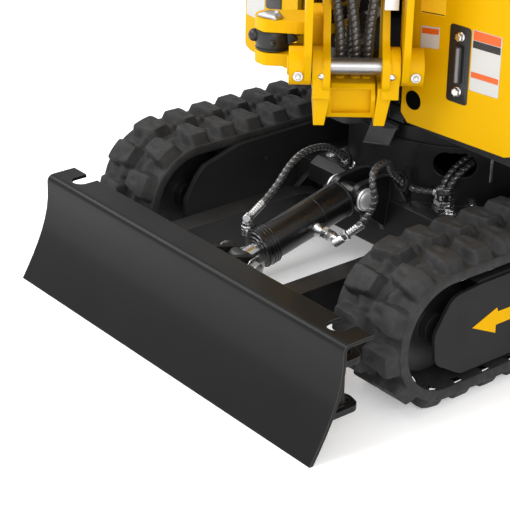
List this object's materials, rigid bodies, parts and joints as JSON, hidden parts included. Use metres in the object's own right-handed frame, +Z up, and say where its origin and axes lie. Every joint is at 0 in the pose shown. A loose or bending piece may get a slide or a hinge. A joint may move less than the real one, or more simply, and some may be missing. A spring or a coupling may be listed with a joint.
{
  "type": "mini excavator",
  "caption": "Compact tracked excavator with a dozer blade, slewing house under a canopy, swing-post boom, arm and digging bucket on hydraulic cylinders.",
  "frame": {"origin": "bottom centre of the bounding box, on the ground", "axes": "+Z up, -Y the way the house and blade face, +X the machine's left; the boom is raised and swung 50.7 degrees to the left"},
  "size_m": [1.853, 2.1274, 2.222],
  "materials": {
    "black_paint": "satin",
    "cast_black": "painted",
    "chrome_rod": "polished",
    "cylinder_black": "gloss",
    "hose_black": "spiral guard",
    "plastic_black": "moulded",
    "rubber_track": "matte",
    "seat_vinyl": "grained black vinyl",
    "steel_pin": "bright zinc",
    "yellow_paint": "gloss"
  },
  "bodies": {
    "root": {"undercarriage_frame": "black_paint", "slew_ring": "black_paint", "left_track": "rubber_track", "right_track": "rubber_track", "left_track_frame": "black_paint", "right_track_frame": "black_paint", "track_idlers": "cast_black", "drive_sprockets": "cast_black", "travel_motors": "cast_black", "track_rollers": "cast_black", "blade_hose_front": "hose_black", "blade_hose_rear": "hose_black", "feed_hose_1": "hose_black", "feed_hose_2": "hose_black"},
    "blade": {"blade": "black_paint", "blade_arms": "black_paint"},
    "blade_barrel": {"blade_cylinder_barrel": "cylinder_black"},
    "blade_rod": {"blade_cylinder_rod": "chrome_rod"},
    "house": {"house_frame": "black_paint", "king_pin": "steel_pin", "left_front_cover": "yellow_paint", "right_front_cover": "yellow_paint", "left_side_cover": "yellow_paint", "right_side_cover": "yellow_paint", "operator_floor": "black_paint", "seat_pedestal": "black_paint", "counterweight": "cast_black", "engine": "cast_black", "left_console": "plastic_black", "right_console": "plastic_black", "joysticks": "plastic_black", "travel_levers": "black_paint", "seat_cushion": "seat_vinyl", "seat_backrest": "seat_vinyl", "canopy_frame": "black_paint", "canopy_roof": "yellow_paint"},
    "hood": {"engine_hood": "yellow_paint"},
    "swing_post": {"swing_post": "yellow_paint", "swing_pin_cap": "steel_pin", "boom_hose_1": "hose_black", "boom_hose_2": "hose_black", "boom_hose_3": "hose_black", "boom_hose_4": "hose_black"},
    "swing_barrel": {"swing_cylinder_barrel": "cylinder_black"},
    "swing_rod": {"swing_cylinder_rod": "chrome_rod"},
    "boom": {"boom": "yellow_paint", "boom_foot_pin": "steel_pin", "boom_tip_pin": "steel_pin"},
    "boom_barrel": {"boom_cylinder_barrel": "cylinder_black"},
    "boom_rod": {"boom_cylinder_rod": "chrome_rod"},
    "arm": {"arm": "yellow_paint", "bucket_pins": "steel_pin"},
    "arm_barrel": {"arm_cylinder_barrel": "cylinder_black"},
    "arm_rod": {"arm_cylinder_rod": "chrome_rod"},
    "bucket": {"bucket": "black_paint"},
    "rocker": {"bucket_rocker": "black_paint"},
    "link": {"bucket_link": "black_paint"},
    "bucket_barrel": {"bucket_cylinder_barrel": "cylinder_black"},
    "bucket_rod": {"bucket_cylinder_rod": "chrome_rod"}
  },
  "joints": [
    {"name": "house_slew", "type": "hinge", "parent": "root", "child": "house", "pos_m": [-0.46153, 0.43072, 0.4], "axis": [0, 0, 1], "continuous": true},
    {"name": "blade_lift", "type": "hinge", "parent": "root", "child": "blade", "pos_m": [-0.46153, 0.18072, 0.128], "axis": [-1, 0, 0], "range_deg": [-14, 11], "deforming": ["blade_hose_front", "blade_hose_rear"]},
    {"name": "blade_barrel_pivot", "type": "hinge", "parent": "root", "child": "blade_barrel", "pos_m": [-0.46153, 0.12372, 0.228], "axis": [-1, 0, 0], "range_deg": [-15.56, 12.28]},
    {"name": "blade_rod_slide", "type": "slide", "parent": "blade_barrel", "child": "blade_rod", "axis": [0, -0.9729, -0.2313], "range_m": [-0.02167, 0.02745]},
    {"name": "hood_hinge", "type": "hinge", "parent": "house", "child": "hood", "pos_m": [-0.86553, 0.76872, 0.7], "axis": [0, 0, 1], "range_deg": [0, 100]},
    {"name": "boom_swing", "type": "hinge", "parent": "house", "child": "swing_post", "pos_m": [-0.46153, 0.11072, 0.5], "axis": [0, 0, 1], "range_deg": [-104, 0]},
    {"name": "swing_barrel_pivot", "type": "hinge", "parent": "house", "child": "swing_barrel", "pos_m": [-0.61953, 0.58072, 0.578], "axis": [0, 0, 1], "range_deg": [-13.59, 0.23]},
    {"name": "swing_rod_slide", "type": "slide", "parent": "swing_barrel", "child": "swing_rod", "axis": [0.1689, -0.9856, 0], "range_m": [-0.24444, 0.0005]},
    {"name": "boom_lift", "type": "hinge", "parent": "swing_post", "child": "boom", "pos_m": [-0.34545, 0.01571, 0.554], "axis": [-0.6334, -0.7738, 0], "range_deg": [-88, 2], "deforming": ["boom_hose_1", "boom_hose_2", "boom_hose_3", "boom_hose_4"]},
    {"name": "boom_barrel_pivot", "type": "hinge", "parent": "swing_post", "child": "boom_barrel", "pos_m": [-0.40427, 0.06385, 0.722], "axis": [-0.6334, -0.7738, 0], "range_deg": [-97.73, 2.44]},
    {"name": "boom_rod_slide", "type": "slide", "parent": "boom_barrel", "child": "boom_rod", "axis": [-0.0442, 0.0361, 0.9984], "range_m": [-0.00507, 0.2017]},
    {"name": "arm_crowd", "type": "hinge", "parent": "boom", "child": "arm", "pos_m": [0.14275, -0.38388, 1.75248], "axis": [0.6334, 0.7738, 0], "range_deg": [-32, 65]},
    {"name": "arm_barrel_pivot", "type": "hinge", "parent": "boom", "child": "arm_barrel", "pos_m": [-0.31079, -0.01266, 1.48747], "axis": [-0.6334, -0.7738, 0], "range_deg": [-3.08, 1.63]},
    {"name": "arm_rod_slide", "type": "slide", "parent": "arm_barrel", "child": "arm_rod", "axis": [0.6077, -0.4974, 0.6191], "range_m": [-0.07866, 0.15925]},
    {"name": "bucket_curl", "type": "hinge", "parent": "arm", "child": "bucket", "pos_m": [0.71722, -0.85407, 1.48228], "axis": [-0.6334, -0.7738, 0], "range_deg": [-7, 123]},
    {"name": "rocker_pivot", "type": "hinge", "parent": "arm", "child": "rocker", "pos_m": [0.61113, -0.76724, 1.54069], "axis": [-0.6334, -0.7738, 0], "range_deg": [-6.86, 116.72]},
    {"name": "link_pivot", "type": "hinge", "parent": "rocker", "child": "link", "pos_m": [0.69252, -0.83386, 1.57359], "axis": [-0.6334, -0.7738, 0], "range_deg": [-116.45, 6.84]},
    {"name": "bucket_barrel_pivot", "type": "hinge", "parent": "arm", "child": "bucket_barrel", "pos_m": [0.133, -0.37589, 1.89328], "axis": [-0.6334, -0.7738, 0], "range_deg": [-0.29, 1.26]},
    {"name": "bucket_rod_slide", "type": "slide", "parent": "bucket_barrel", "child": "bucket_rod", "axis": [0.7077, -0.5793, -0.4044], "range_m": [-0.19178, 0.01139]}
  ],
  "couplings": [
    {"joint": "blade_barrel_pivot", "follows": "blade_lift", "ratio": 1.0953},
    {"joint": "blade_rod_slide", "follows": "blade_lift", "m_per_rad": -0.11027},
    {"joint": "swing_barrel_pivot", "follows": "boom_swing", "ratio": 0.12847},
    {"joint": "swing_rod_slide", "follows": "boom_swing", "m_per_rad": 0.13439},
    {"joint": "boom_barrel_pivot", "follows": "boom_lift", "ratio": 1.108},
    {"joint": "boom_rod_slide", "follows": "boom_lift", "m_per_rad": -0.131},
    {"joint": "arm_barrel_pivot", "follows": "arm_crowd", "ratio": -0.043844},
    {"joint": "arm_rod_slide", "follows": "arm_crowd", "m_per_rad": 0.13994},
    {"joint": "rocker_pivot", "follows": "bucket_curl", "ratio": 0.94705},
    {"joint": "link_pivot", "follows": "bucket_curl", "ratio": -0.94492},
    {"joint": "bucket_barrel_pivot", "follows": "bucket_curl", "ratio": 0.008422},
    {"joint": "bucket_rod_slide", "follows": "bucket_curl", "m_per_rad": -0.089101}
  ]
}
